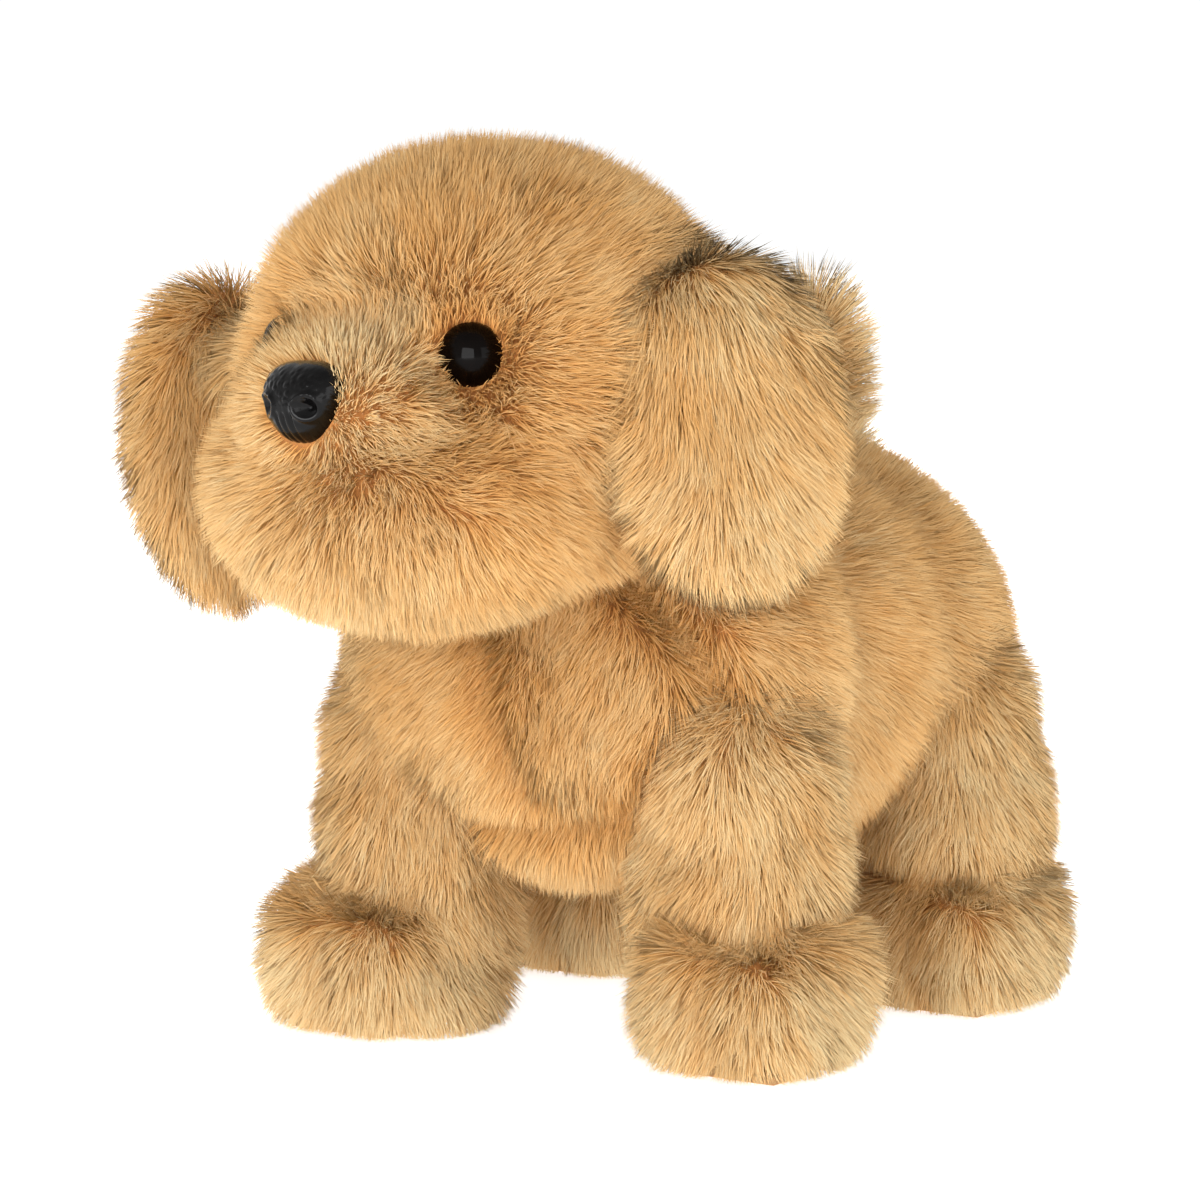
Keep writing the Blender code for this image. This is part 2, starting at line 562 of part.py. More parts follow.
def head_parts(head):
    """Cover, filling, eyes, nose and their lock washers, about the head's centre."""
    cover = add_object("head_cover", loft(HEAD, segments=20), head, FUR)
    cut(cover, add_object("cut_head_hollow", loft(HEAD, segments=16, steps=1, grow=-HEAD_WALL), head))
    down = (-HEAD_CENTRE[0], -HEAD_CENTRE[1] - 1.0)
    throat = rod((*down, -80), (*down, NECK_STEM + 1.5 - HEAD_CENTRE[2]), 16.5)
    cut(cover, add_object("cut_throat", throat, head))
    filling = loft(HEAD, segments=12, steps=1, grow=-HEAD_WALL - 2 * PAD_GAP)
    filling = add_object("head_stuffing", filling, head, FILLING)
    cut(filling, add_object("cut_stuffing_throat", rod((*down, -80), (*down, 3), 17.5), head))

    for side, name in ((1, "left"), (-1, "right")):
        place = (side * EYE_PLACE[0], *EYE_PLACE[1:])
        turn = side * EYE_TURN
        eye = button(EYE_RADIUS, EYE_DOME, EYE_SHANK)
        add_object(f"eye_{name}", facing(eye, place, turn), head, GLOSS)
        add_object(f"eye_washer_{name}", facing(washer(EYE_WASHER), place, turn), head, NYLON)
        socket = button_socket(EYE_RADIUS + 1.7, 15)
        cut(cover, add_object(f"cut_eye_{name}", facing(socket, place, turn), head))
        room = facing(washer_room(EYE_SHANK), place, turn)
        cut(filling, add_object(f"cut_filling_behind_eye_{name}", room, head))
    nose = button(NOSE_RADIUS, NOSE_DOME, NOSE_SHANK, squeeze=0.82)
    add_object("nose", facing(nose, NOSE_PLACE, 0), head, GLOSS)
    add_object("nose_washer", facing(washer(NOSE_WASHER), NOSE_PLACE, 0), head, NYLON)
    socket = button_socket(NOSE_RADIUS + 0.8, 15)
    cut(cover, add_object("cut_nose", facing(socket, NOSE_PLACE, 0), head))
    room = facing(washer_room(NOSE_SHANK), NOSE_PLACE, 0)
    cut(filling, add_object("cut_filling_behind_nose", room, head))


def ear(name, head, side, centre, lean, turn):
    """Fur flap sewn to the side of the head; it lifts about its root."""
    root = (side * EAR_PIVOT[0], *EAR_PIVOT[1:])
    joint = empty(f"axis_{name}", root, head)
    flap = loft(EAR, segments=16, steps=1)
    pose = (Matrix.Rotation(math.radians(-side * turn), 3, "Z")
            @ Matrix.Rotation(math.radians(-side * lean), 3, "Y"))
    bmesh.ops.rotate(flap, matrix=pose, verts=flap.verts)
    bmesh.ops.translate(flap, vec=Vector(centre) - Vector(root), verts=flap.verts)
    cover = add_object(name, flap, joint, FUR)
    cut(cover, add_object(f"cut_{name}_head", loft(HEAD, segments=20, grow=0.8), head),
        add_object(f"cut_{name}_torso", loft(TORSO, "Y", steps=1, grow=6.0), DOG))


# ---------------------------------------------------------------- tail
def tail_parts(dog):
    joint = empty("axis_tail", TAIL_PIVOT, dog)
    x, y, z = TAIL_PIVOT
    sections = [(t - z, cx - x, cy - y, rx, ry) for t, cx, cy, rx, ry in TAIL]
    cover = add_object("tail_cover", loft(sections, segments=14, steps=1), joint, FUR)
    core = Vector((0, 4.6, 46))
    room = rod(-0.1 * core, 1.06 * core, TAIL_CORE_RADIUS + 0.4)
    cut(cover, add_object("cut_tail_core", room, joint))
    wire = add_object("tail_rod", rod((0, 0, 0), core, TAIL_CORE_RADIUS, segments=12), joint, CASING)
    boolean(wire, add_object("cut_tail_boss", rod((0, -4, 0), (0, 4, 0), 4.0), joint), "UNION")
    cut(wire, add_object("cut_tail_bore", rod((0, -9, 0), (0, 9, 0), TAIL_PIN_RADIUS + GAP), joint))
    add_object("tail_pin", rod((x, y - 6, z), (x, y + 6, z), TAIL_PIN_RADIUS), dog, STEEL)


# ---------------------------------------------------------------- build
clear_scene()
PARTS = collection("plush_puppy")
CUTTERS = collection("cutters")

FUR = material("golden_fur", (0.56, 0.33, 0.14), 0.95)
FILLING = material("white_filling", (0.80, 0.79, 0.76), 0.95)
CASING = material("white_plastic", (0.72, 0.71, 0.68), 0.45)
NYLON = material("nylon", (0.80, 0.80, 0.76), 0.40)
GLOSS = material("black_gloss_plastic", (0.010, 0.010, 0.011), 0.12)
RUBBER = material("black_rubber", (0.03, 0.03, 0.03), 0.75)
SOLE_RUBBER = material("tan_rubber", (0.36, 0.21, 0.10), 0.80)
BOARD = material("green_board", (0.02, 0.16, 0.06), 0.50)
CELL = material("battery_jacket", (0.10, 0.11, 0.13), 0.35, 0.3)
STEEL = material("bright_steel", (0.62, 0.62, 0.62), 0.28, 1.0)
BRASS = material("brass", (0.70, 0.50, 0.20), 0.30, 1.0)

DOG = empty("dog", DOG_ORIGIN)
NECK = empty("axis_head", NECK_PIVOT, DOG)
HEAD_FRAME = empty("head_centre", HEAD_CENTRE, empty("head_turn", (0, 0, 0), NECK, turn=HEAD_YAW))

torso_cover(DOG)
back_stuffing(DOG)
gearbox(DOG)
gear_train(DOG)
power_pack(DOG)
power_switch(DOG)
for side, side_name in ((1, "left"), (-1, "right")):
    front = leg(f"front_{side_name}", DOG, side, FRONT_HIP_Y, True)
    leg(f"rear_{side_name}", DOG, side, REAR_HIP_Y, False)
    link_rod(f"link_rod_{side_name}", front, side)
neck(DOG, NECK)
head_parts(HEAD_FRAME)
ear("ear_left", HEAD_FRAME, 1, (57, 6, -6), 6, 28)
ear("ear_right", HEAD_FRAME, -1, (-64, -4, -12), 20, 30)
tail_parts(DOG)
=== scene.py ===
"""Looks for the walking plush puppy: skins, fur, eyes, nose, materials, light and camera."""
import itertools
import json
import math

import bmesh
import bpy
import numpy as np
from mathutils import Matrix, Vector


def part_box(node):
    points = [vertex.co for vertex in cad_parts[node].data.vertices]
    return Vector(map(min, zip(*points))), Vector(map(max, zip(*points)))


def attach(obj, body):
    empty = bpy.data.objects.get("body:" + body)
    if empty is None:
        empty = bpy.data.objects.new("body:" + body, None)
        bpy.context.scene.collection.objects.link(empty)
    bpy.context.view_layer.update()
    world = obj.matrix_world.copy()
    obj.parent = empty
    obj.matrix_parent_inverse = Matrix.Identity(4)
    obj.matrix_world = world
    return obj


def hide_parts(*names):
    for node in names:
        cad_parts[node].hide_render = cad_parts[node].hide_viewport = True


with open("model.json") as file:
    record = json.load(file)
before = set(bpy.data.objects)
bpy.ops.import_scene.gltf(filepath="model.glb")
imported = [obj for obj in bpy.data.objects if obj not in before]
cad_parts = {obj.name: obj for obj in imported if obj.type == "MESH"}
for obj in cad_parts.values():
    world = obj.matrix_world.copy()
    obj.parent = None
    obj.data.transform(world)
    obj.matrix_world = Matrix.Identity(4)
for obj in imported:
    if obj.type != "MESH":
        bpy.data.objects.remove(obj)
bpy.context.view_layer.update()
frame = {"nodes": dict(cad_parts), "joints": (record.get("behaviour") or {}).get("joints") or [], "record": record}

MM = 0.001
RNG = np.random.default_rng(20417)

# ------------------------------------------------------------------ places from the frame
JOINTS = {joint["name"]: joint for joint in frame["joints"]}


def centre_of(node):
    """The middle of a CAD node's box, in world metres."""
    low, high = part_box(node)
    return (np.array(low) + np.array(high)) / 2


# The dog's own frame: x = 0 between the gearbox halves, y = 0 midway between the hips, z = 0 the floor.
FRONT_HIP_Y, REAR_HIP_Y = -38.0, 42.0
HEAD_FROM_NECK = np.array([0.0, -27.0, 27.0])      # head's centre from the nod axis, in the head's own turn
ORIGIN = np.array([(centre_of("gearbox_left_shell")[0] + centre_of("gearbox_right_shell")[0]) / 2,
                   centre_of("front_left_hip_pin")[1] - FRONT_HIP_Y * MM, 0.0])
EYES = centre_of("eye_left"), centre_of("eye_right")
EYE_LINE = (EYES[0] - EYES[1])[:2]
HEAD_YAW = math.atan2(EYE_LINE[1], EYE_LINE[0])
NECK = np.array(JOINTS["head_nod"]["pos_m"])
HEAD_TURN = np.array(Matrix.Rotation(HEAD_YAW, 3, "Z"))
HEAD_CENTRE = NECK + HEAD_TURN @ HEAD_FROM_NECK * MM
HEAD_TURN_DEGREES = math.degrees(HEAD_YAW)


def dog(x, y, z):
    """Millimetres in the dog's frame to world metres."""
    return ORIGIN + np.array([x, y, z]) * MM


def head(x, y, z):
    """Millimetres from the head's centre, x to its left, -y to its nose, to world metres."""
    return HEAD_CENTRE + HEAD_TURN @ np.array([x, y, z]) * MM


# ------------------------------------------------------------------ materials
def srgb(r, g, b):
    """0-255 display values to linear colour."""
    def channel(v):
        v /= 255.0
        return v / 12.92 if v <= 0.04045 else ((v + 0.055) / 1.055) ** 2.4
    return (channel(r), channel(g), channel(b), 1.0)


def new_material(name):
    """A fresh Principled material: its node tree, its shader, and a short way to add nodes."""
    made = bpy.data.materials.new(name)
    made.use_nodes = True
    tree = made.node_tree

    def add(kind, **settings):
        node = tree.nodes.new(f"ShaderNode{kind}")
        for key, value in settings.items():
            if key in node.inputs:
                node.inputs[key].default_value = value
            else:
                setattr(node, key, value)
        return node
    return made, tree.nodes["Principled BSDF"], tree.links.new, add


def finish(name, colour, roughness, grain=1.2, mottle=0.12, bump=0.15, metallic=0.0,
           stretch=(1, 1, 1), coat=0.0, specular=0.5):
    """A moulded, brushed or woven surface: noise of grain mm drives its colour, roughness and bump."""
    made, shader, link, add = new_material(name)
    place = add("TexCoord")
    mapping = add("Mapping", Scale=[1 / (grain * MM) * s for s in stretch])
    noise = add("TexNoise", Scale=1.0, Detail=4.0, Roughness=0.6)
    link(place.outputs["Object"], mapping.inputs["Vector"])
    link(mapping.outputs["Vector"], noise.inputs["Vector"])
    ramp = add("ValToRGB")
    dark, light = ramp.color_ramp.elements
    dark.position, light.position = 0.3, 0.7
    dark.color = [c * (1 - mottle) for c in colour[:3]] + [1.0]
    light.color = [min(1.0, c * (1 + mottle)) for c in colour[:3]] + [1.0]
    link(noise.outputs["Fac"], ramp.inputs["Fac"])
    link(ramp.outputs["Color"], shader.inputs["Base Color"])
    spread = add("MapRange")
    spread.inputs["To Min"].default_value = max(0.02, roughness * 0.8)
    spread.inputs["To Max"].default_value = min(1.0, roughness * 1.2)
    link(noise.outputs["Fac"], spread.inputs["Value"])
    link(spread.outputs["Result"], shader.inputs["Roughness"])
    relief = add("Bump", Strength=bump, Distance=0.2 * MM)
    link(noise.outputs["Fac"], relief.inputs["Height"])
    link(relief.outputs["Normal"], shader.inputs["Normal"])
    shader.inputs["Metallic"].default_value = metallic
    shader.inputs["Coat Weight"].default_value = coat
    shader.inputs["Specular IOR Level"].default_value = specular
    return made


UV_LAYER = "OFBake"
FUR_RAMP = ((0.0, (134, 68, 24)), (0.25, (184, 108, 46)), (0.5, (216, 144, 72)),
            (0.7, (236, 175, 102)), (0.86, (247, 200, 136)), (1.0, (253, 224, 170)))
FIBRE_ROUGHNESS, FIBRE_SPECULAR = 0.7, 0.2


def fur_paint():
    """Fibre colour from dark root (u = 0) to pale tip (u = 1), varied from fibre to fibre (v)."""
    made, shader, link, add = new_material("fur_fibre")
    place = add("UVMap", uv_map=UV_LAYER)
    split = add("SeparateXYZ")
    ramp = add("ValToRGB")
    stops = ramp.color_ramp.elements
    for position, _ in FUR_RAMP[1:-1]:
        stops.new(position)
    for stop, (position, colour) in zip(stops, FUR_RAMP):
        stop.position = position
        stop.color = srgb(*colour)
    mapping = add("Mapping", Scale=(2.0, 90.0, 1.0))
    noise = add("TexNoise", Scale=1.0, Detail=2.0)
    spread = add("MapRange")
    spread.inputs["To Min"].default_value = 0.86
    spread.inputs["To Max"].default_value = 1.14
    vary = add("HueSaturation")
    link(place.outputs["UV"], split.inputs["Vector"])
    link(place.outputs["UV"], mapping.inputs["Vector"])
    link(mapping.outputs["Vector"], noise.inputs["Vector"])
    link(split.outputs["X"], ramp.inputs["Fac"])
    link(noise.outputs["Fac"], spread.inputs["Value"])
    link(spread.outputs["Result"], vary.inputs["Value"])
    link(ramp.outputs["Color"], vary.inputs["Color"])
    link(vary.outputs["Color"], shader.inputs["Base Color"])
    # A fibre is lit by its own normal from either side, so the flip on its back is undone.
    sides = add("NewGeometry")
    flip = add("MapRange")
    flip.inputs["To Min"].default_value = 1.0
    flip.inputs["To Max"].default_value = -1.0
    outward = add("VectorMath", operation="SCALE")
    link(sides.outputs["Backfacing"], flip.inputs["Value"])
    link(sides.outputs["Normal"], outward.inputs[0])
    link(flip.outputs["Result"], outward.inputs["Scale"])
    link(outward.outputs["Vector"], shader.inputs["Normal"])
    shader.inputs["Roughness"].default_value = FIBRE_ROUGHNESS
    shader.inputs["Specular IOR Level"].default_value = FIBRE_SPECULAR
    return made


# ------------------------------------------------------------------ skins
def oval(centre, radii, turn=(0, 0, 0), power=2.0, rings=20):
    """An oval as a bmesh; a power over 2 squares it off.  centre in metres, radii in mm."""
    bm = bmesh.new()
    bmesh.ops.create_uvsphere(bm, u_segments=2 * rings, v_segments=rings, radius=1.0)
    about_x, about_y, about_z = (math.radians(angle) for angle in turn)
    spin = Matrix.Rotation(about_z, 3, "Z") @ Matrix.Rotation(about_y, 3, "Y")
    spin = spin @ Matrix.Rotation(about_x, 3, "X")
    for v in bm.verts:
        size = sum(abs(c) ** power for c in v.co) ** (1 / power)
        scaled = Vector([c / size * r * MM for c, r in zip(v.co, radii)])
        v.co = spin @ scaled + Vector(centre)
    return bm


def mesh_of(obj):
    """The evaluated mesh of an object, which is removed."""
    evaluated = obj.evaluated_get(bpy.context.evaluated_depsgraph_get())
    mesh = bpy.data.meshes.new_from_object(evaluated)
    bpy.data.objects.remove(obj, do_unlink=True)
    return mesh


def placed(name, data):
    """An object for a mesh, lamp or camera, in the scene."""
    made = bpy.data.objects.new(name, data)
    bpy.context.scene.collection.objects.link(made)
    return made


def rows_of(mesh, field):
    """A mesh's points ("co") or vertex normals ("normal") as rows of three."""
    values = np.empty(len(mesh.vertices) * 3)
    mesh.vertices.foreach_get(field, values)
    return values.reshape(-1, 3)


def skin(name, ovals, voxel=2.2, relax=12, floor=None, swell=0.0):
    """One closed skin around a group of ovals, with soft valleys where they meet."""
    joined = bmesh.new()
    for shape in ovals:
        part = bpy.data.meshes.new("part")
        shape.to_mesh(part)
        shape.free()
        joined.from_mesh(part)
        bpy.data.meshes.remove(part)
    mesh = bpy.data.meshes.new(name)
    joined.to_mesh(mesh)
    joined.free()
    obj = placed(name, mesh)
    remesh = obj.modifiers.new("Remesh", "REMESH")
    remesh.mode = "VOXEL"
    remesh.voxel_size = voxel * MM
    remesh.use_smooth_shade = True
    smooth = obj.modifiers.new("Relax", "SMOOTH")
    smooth.factor = 0.5
    smooth.iterations = relax
    bpy.context.view_layer.update()
    mesh = mesh_of(obj)
    for v in mesh.vertices:
        v.co += v.normal * swell * MM
        if floor is not None:
            v.co.z = max(v.co.z, floor * MM)
    mesh.name = name
    mesh.shade_smooth()
    return placed(name, mesh)


# ------------------------------------------------------------------ fur
def unit(v):
    """Rows of three scaled to length 1."""
    return v / np.maximum(np.linalg.norm(v, axis=-1, keepdims=True), 1e-9)


def hashed(cells, seed):
    """Three repeatable random numbers in 0..1 for each integer cell."""
    c = cells.astype(np.int64)
    mixed = (c[..., 0] * 73856093) ^ (c[..., 1] * 19349663) ^ (c[..., 2] * 83492791)
    out = []
    for k in range(3):
        h = mixed ^ (seed * 2654435761 + k * 97561)
        h = (h ^ (h >> 13)) * 1274126177
        h = h ^ (h >> 16)
        out.append((h & 0xFFFFFF) / float(0x1000000))
    return np.stack(out, -1)


def soft_noise(points, size, seed):
    """Smooth 3-vector noise in -1..1 whose bumps are about size mm across."""
    q = points / (size * MM)
    base = np.floor(q)
    f = q - base
    f = f * f * (3 - 2 * f)
    total = np.zeros((len(points), 3))
    for corner in itertools.product((0, 1), repeat=3):
        weight = np.where(corner, f, 1 - f).prod(axis=1, keepdims=True)
        total += weight * hashed(base + np.array(corner), seed)
    return total * 2 - 1


def tufts(points, size, seed):
    """The nearest of scattered tuft centres about size mm apart, and a random tone for each tuft."""
    cell = size * MM
    base = np.floor(points / cell)
    best = np.full(len(points), np.inf)
    nearest = np.zeros_like(points)
    tone = np.zeros(len(points))
    for step in itertools.product((-1, 0, 1), repeat=3):
        c = base + np.array(step)
        random = hashed(c, seed)
        centre = (c + random) * cell
        away = ((centre - points) ** 2).sum(1)
        closer = away < best
        best[closer] = away[closer]
        nearest[closer] = centre[closer]
        tone[closer] = random[closer, 2] * 2 - 1
    return nearest, tone


def scatter(mesh, density):
    """Points on a mesh with their normals, area weighted, density per mm2."""
    mesh.calc_loop_triangles()
    count = len(mesh.loop_triangles)
    tris = np.empty(count * 3, np.int32)
    mesh.loop_triangles.foreach_get("vertices", tris)
    tris = tris.reshape(-1, 3)
    co, no = rows_of(mesh, "co"), rows_of(mesh, "normal")
    a, b, c = co[tris[:, 0]], co[tris[:, 1]], co[tris[:, 2]]
    area = np.linalg.norm(np.cross(b - a, c - a), axis=1) / 2
    total = int(area.sum() / MM ** 2 * density)
    pick = RNG.choice(count, size=total, p=area / area.sum())
    u, v = RNG.random(total), RNG.random(total)
    flip = u + v > 1
    u[flip], v[flip] = 1 - u[flip], 1 - v[flip]
    w = 1 - u - v
    t = tris[pick]
    points = w[:, None] * co[t[:, 0]] + u[:, None] * co[t[:, 1]] + v[:, None] * co[t[:, 2]]
    normals = unit(w[:, None] * no[t[:, 0]] + u[:, None] * no[t[:, 1]] + v[:, None] * no[t[:, 2]])
    return points, normals


STRAND_LEVELS = np.array([0.0, 0.36, 0.72, 1.0])       # share of a fibre's length, root to tip
STRAND_WIDTHS = np.array([1.0, 0.95, 0.66])            # share of its width at all but the tip
STRAND_TONES = np.array([0.52, 0.66, 0.78, 0.86])      # place on the colour ramp
STRANDS_PER_PIECE = 39000
PILE_DENSITY = 6.0      # fibres per mm2
FIBRE_WIDTH = 0.20     # mm
ROOT_DEPTH = 0.4                               # mm under the skin where a fibre starts
FLOOR_GAP = 0.25                               # mm over the floor that no fibre goes below
SMALL_TUFT, SMALL_PULL = 1.7, 0.45             # mm between tufts, and how far their fibres lean in
LARGE_TUFT, LARGE_PULL = 4.6, 0.08
COMB_WAVES = ((9.0, 0.35), (3.0, 0.30))        # mm across and strength, in the way the pile lies
LIFT_RANGE = (0.15, 1.2)
SAG = 0.05                                     # share of a fibre's length that its tip drops
TIP_CURVE = 1.4                                # how late along a fibre its tuft pulls it
CORNERS = 7                                    # points of one ribbon


def at(setting, points):
    """A setting that may be one number or a function of the points."""
    return setting(points) if callable(setting) else np.full(len(points), float(setting))


def brushed(points, normals, comb, seed):
    """The way each fibre lies along the skin: the combing with waves in it."""
    along = comb(points, normals)
    for step, (size, strength) in enumerate(COMB_WAVES):
        along = along + soft_noise(points, size, seed + step) * strength
    along = along - (along * normals).sum(1, keepdims=True) * normals
    return along / np.maximum(1.0, np.linalg.norm(along, axis=1, keepdims=True))


def growth(points, normals, along, length, lift, seed):
    """Each fibre's length in m, the way it leaves the skin and the bend that its tip adds."""
    count = len(points)
    lifts = at(lift, points)
    lifts = lifts + RNG.normal(0, 0.05, count) + soft_noise(points, 12.0, seed + 2)[:, 0] * 0.10
    lifts = np.clip(lifts, *LIFT_RANGE)
    long = at(length, points) * MM * (0.90 + 0.16 * RNG.random(count))
    long *= 1 + 0.08 * soft_noise(points, 7.0, seed + 3)[:, 0]
    start = normals * lifts[:, None] + along * (1 - 0.55 * lifts[:, None])
    start = unit(start + RNG.normal(0, 0.07, (count, 3)))
    bend = along * (0.30 * (1.25 - lifts))[:, None] + RNG.normal(0, 0.09, (count, 3))
    bend[:, 2] -= SAG
    return long, start, bend


def gathered(points, normals, seed):
    """Each fibre's pull to the middles of its small and large tuft, and the tone they share."""
    small, small_tone = tufts(points, SMALL_TUFT, seed + 4)
    large, large_tone = tufts(points, LARGE_TUFT, seed + 5)
    pull = (small - points) * SMALL_PULL + (large - points) * LARGE_PULL
    pull -= (pull * normals).sum(1, keepdims=True) * normals
    pull *= (0.5 + 0.5 * RNG.random(len(points)))[:, None]
    return pull, small_tone * 0.045 + large_tone * 0.03


def rolled(start, normals):
    """Each ribbon's sideways direction, rolled at random about the fibre, and half its width in m."""
    side = unit(np.cross(start, normals) + 1e-6)
    roll = RNG.uniform(-1.4, 1.4, len(start))
    facing = unit(np.cross(side, start))
    side = side * np.cos(roll)[:, None] + facing * np.sin(roll)[:, None]
    return side, FIBRE_WIDTH * MM * (0.7 + 0.6 * RNG.random(len(start))) / 2


def fur(name, base, body, comb, length, lift, shade, seed, keep=None):
    """Fibres on a skin, as mesh ribbons that ride on a body; how many is returned.

    comb(points, normals) gives the way the pile is brushed; length in mm and lift, the share
    of the normal in a fibre's direction, are a number or a function of the points; shade gives
    the points' change of tone; keep is a mask for where the pile grows.
    """
    points, normals = scatter(base.data, PILE_DENSITY)
    if keep is not None:
        mask = keep(points, normals)
        points, normals = points[mask], normals[mask]
    count = len(points)
    along = brushed(points, normals, comb, seed)
    long, start, bend = growth(points, normals, along, length, lift, seed)
    pull, tone = gathered(points, normals, seed)
    side, wide = rolled(start, normals)

    verts = np.empty((count, CORNERS, 3))
    for level, s in enumerate(STRAND_LEVELS[:-1]):
        centre = points + long[:, None] * (start * s + bend * s * s) + pull * s ** TIP_CURVE
        if level == 0:
            centre = centre - normals * ROOT_DEPTH * MM
        half = side * (wide * STRAND_WIDTHS[level])[:, None]
        verts[:, 2 * level] = centre - half
        verts[:, 2 * level + 1] = centre + half
    verts[:, CORNERS - 1] = points + long[:, None] * (start + bend) + pull
    verts[:, :, 2] = np.maximum(verts[:, :, 2], FLOOR_GAP * MM)

    shift = RNG.normal(0, 0.035, count) + tone + soft_noise(points, 14.0, seed + 6)[:, 0] * 0.05
    shift += shade(points)
    tones = np.clip(shift[:, None] + STRAND_TONES, 0.01, 0.99)

    # A fibre is shaded mostly like the skin under it, so that the pile reads as one soft form.
    ribbon = unit(np.cross(side, start))
    ribbon *= np.sign((ribbon * normals).sum(1, keepdims=True) + 1e-9)
    shading = unit(normals * 0.7 + ribbon * 0.3)
    pieces = max(1, math.ceil(count / STRANDS_PER_PIECE))
    order = np.argsort(points[:, 0] * 0.8 + points[:, 1] * 0.6) if pieces > 1 else np.arange(count)
    for k, rows in enumerate(np.array_split(order, pieces)):
        label = name if pieces == 1 else f"{name}_{k + 1}"
        ribbon_mesh(label, verts[rows], tones[rows], shading[rows], body)
    return count


def ribbon_mesh(name, verts, tones, shading, body):
    """One object of tapered ribbons: two quads and a tip each, with their tone as the map's u."""
    n = len(verts)
    order = np.array([0, 1, 3, 2, 2, 3, 5, 4, 4, 5, 6])
    corners = (np.arange(n)[:, None] * CORNERS + order).astype(np.int32)
    mesh = bpy.data.meshes.new(name)
    mesh.vertices.add(n * CORNERS)
    mesh.vertices.foreach_set("co", verts.reshape(-1).astype(np.float32))
    mesh.loops.add(n * len(order))
    mesh.loops.foreach_set("vertex_index", corners.reshape(-1))
    mesh.polygons.add(n * 3)
    starts = np.arange(n)[:, None] * len(order) + np.array([0, 4, 8])
    mesh.polygons.foreach_set("loop_start", starts.reshape(-1).astype(np.int32))
    mesh.materials.append(FIBRE)
    uv = np.empty((n, CORNERS, 2))
    uv[:, :, 0] = tones[:, [0, 0, 1, 1, 2, 2, 3]]
    uv[:, :, 1] = RNG.uniform(0.01, 0.99, n)[:, None] + np.array([-1, 1, -1, 1, -1, 1, 0]) * 0.005
    layer = mesh.uv_layers.new(name=UV_LAYER)
    layer.uv.foreach_set("vector", uv[:, order].reshape(-1).astype(np.float32))
    mesh.update(calc_edges=True)
    mesh.shade_smooth()
    repeated = np.repeat(shading, CORNERS, axis=0).astype(np.float32)
    mesh.normals_split_custom_set_from_vertices(repeated)
    made = placed(name, mesh)
    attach(made, body)
    return made


FIBRE = fur_paint()
BACKING = finish("fur_backing", srgb(190, 128, 68), 0.95, grain=0.8, mottle=0.25, bump=0.5)


# ------------------------------------------------------------------ brushing and seams
def near(points, centre, reach):
    """1 at centre, falling to 0 at reach mm."""
    gap = np.linalg.norm(points - np.array(centre), axis=1) / (reach * MM)
    return np.clip(1 - gap, 0, 1)


def from_line(points, line, reach):
    """Each point's way from a line of places, and a closeness of 1 on it falling to 0 at reach mm."""
    best = np.full(len(points), np.inf)
    way = np.zeros_like(points)
    for a, b in zip(line[:-1], line[1:]):
        along = b - a
        t = np.clip((points - a) @ along / (along @ along), 0, 1)
        gap = points - (a + t[:, None] * along)
        size = np.linalg.norm(gap, axis=1)
        closer = size < best
        best[closer] = size[closer]
        way[closer] = gap[closer]
    return unit(way), np.clip(1 - best / (reach * MM), 0, 1)


def laid_on(base, places):
    """The nearest points of a skin to some places."""
    co = rows_of(base.data, "co")
    return [co[((co - place) ** 2).sum(1).argmin()].copy() for place in places]


def press_in(base, lines=(), spots=()):
    """Presses a skin in along seams (line, reach, depth) and at spots (place, reach, depth), in mm."""
    mesh = base.data
    co, no = rows_of(mesh, "co"), rows_of(mesh, "normal")
    depth = np.zeros(len(co))
    for line, reach, deep in lines:
        close = from_line(co, line, reach)[1]
        depth = np.maximum(depth, deep * close * close * (3 - 2 * close))
    for place, reach, deep in spots:
        close = near(co, place, reach)
        depth = np.maximum(depth, deep * close * close * (3 - 2 * close))
    co = co - no * depth[:, None] * MM
    mesh.vertices.foreach_set("co", co.reshape(-1))
    mesh.update()


# ------------------------------------------------------------------ torso
HEM = [dog(-44, -36, 60), dog(-34, -50, 50), dog(-18, -55, 46), dog(0, -57, 45), dog(22, -55, 49),
       dog(33, -55, 56), dog(41, -55, 70), dog(44, -54, 79), dog(40, -57, 89), dog(27, -60, 101)]
BIB = [dog(-5, -68, 97), dog(-1, -70, 84), dog(-1, -70, 74), dog(1.4, -67, 62), dog(3.5, -63, 54)]
BELLY_X, BELLY_Y, BELLY_Z = (-15, 15), (-33, 50), (10, 66)     # opening at switch and battery door
BELLY_RIM = 3                                  # mm around the opening with no pile
NECK_BALL = np.array([38, 36, 36])             # mm, the room inside the head where no torso pile grows
TORSO_PILE = 8.5                               # mm


def set_on(body, node, piece):
    """Fix a piece to its body, as the stand-in for a CAD node."""
    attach(piece, body)
    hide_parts(node)


def block(name, x, y, z):
    """A box in the dog's frame."""
    bm = bmesh.new()
    bmesh.ops.create_cube(bm, size=1.0)
    bmesh.ops.scale(bm, vec=Vector((x[1] - x[0], y[1] - y[0], z[1] - z[0])) * MM, verts=bm.verts)
    bmesh.ops.translate(bm, vec=dog(sum(x) / 2, sum(y) / 2, sum(z) / 2), verts=bm.verts)
    mesh = bpy.data.meshes.new(name)
    bm.to_mesh(mesh)
    bm.free()
    return placed(name, mesh)


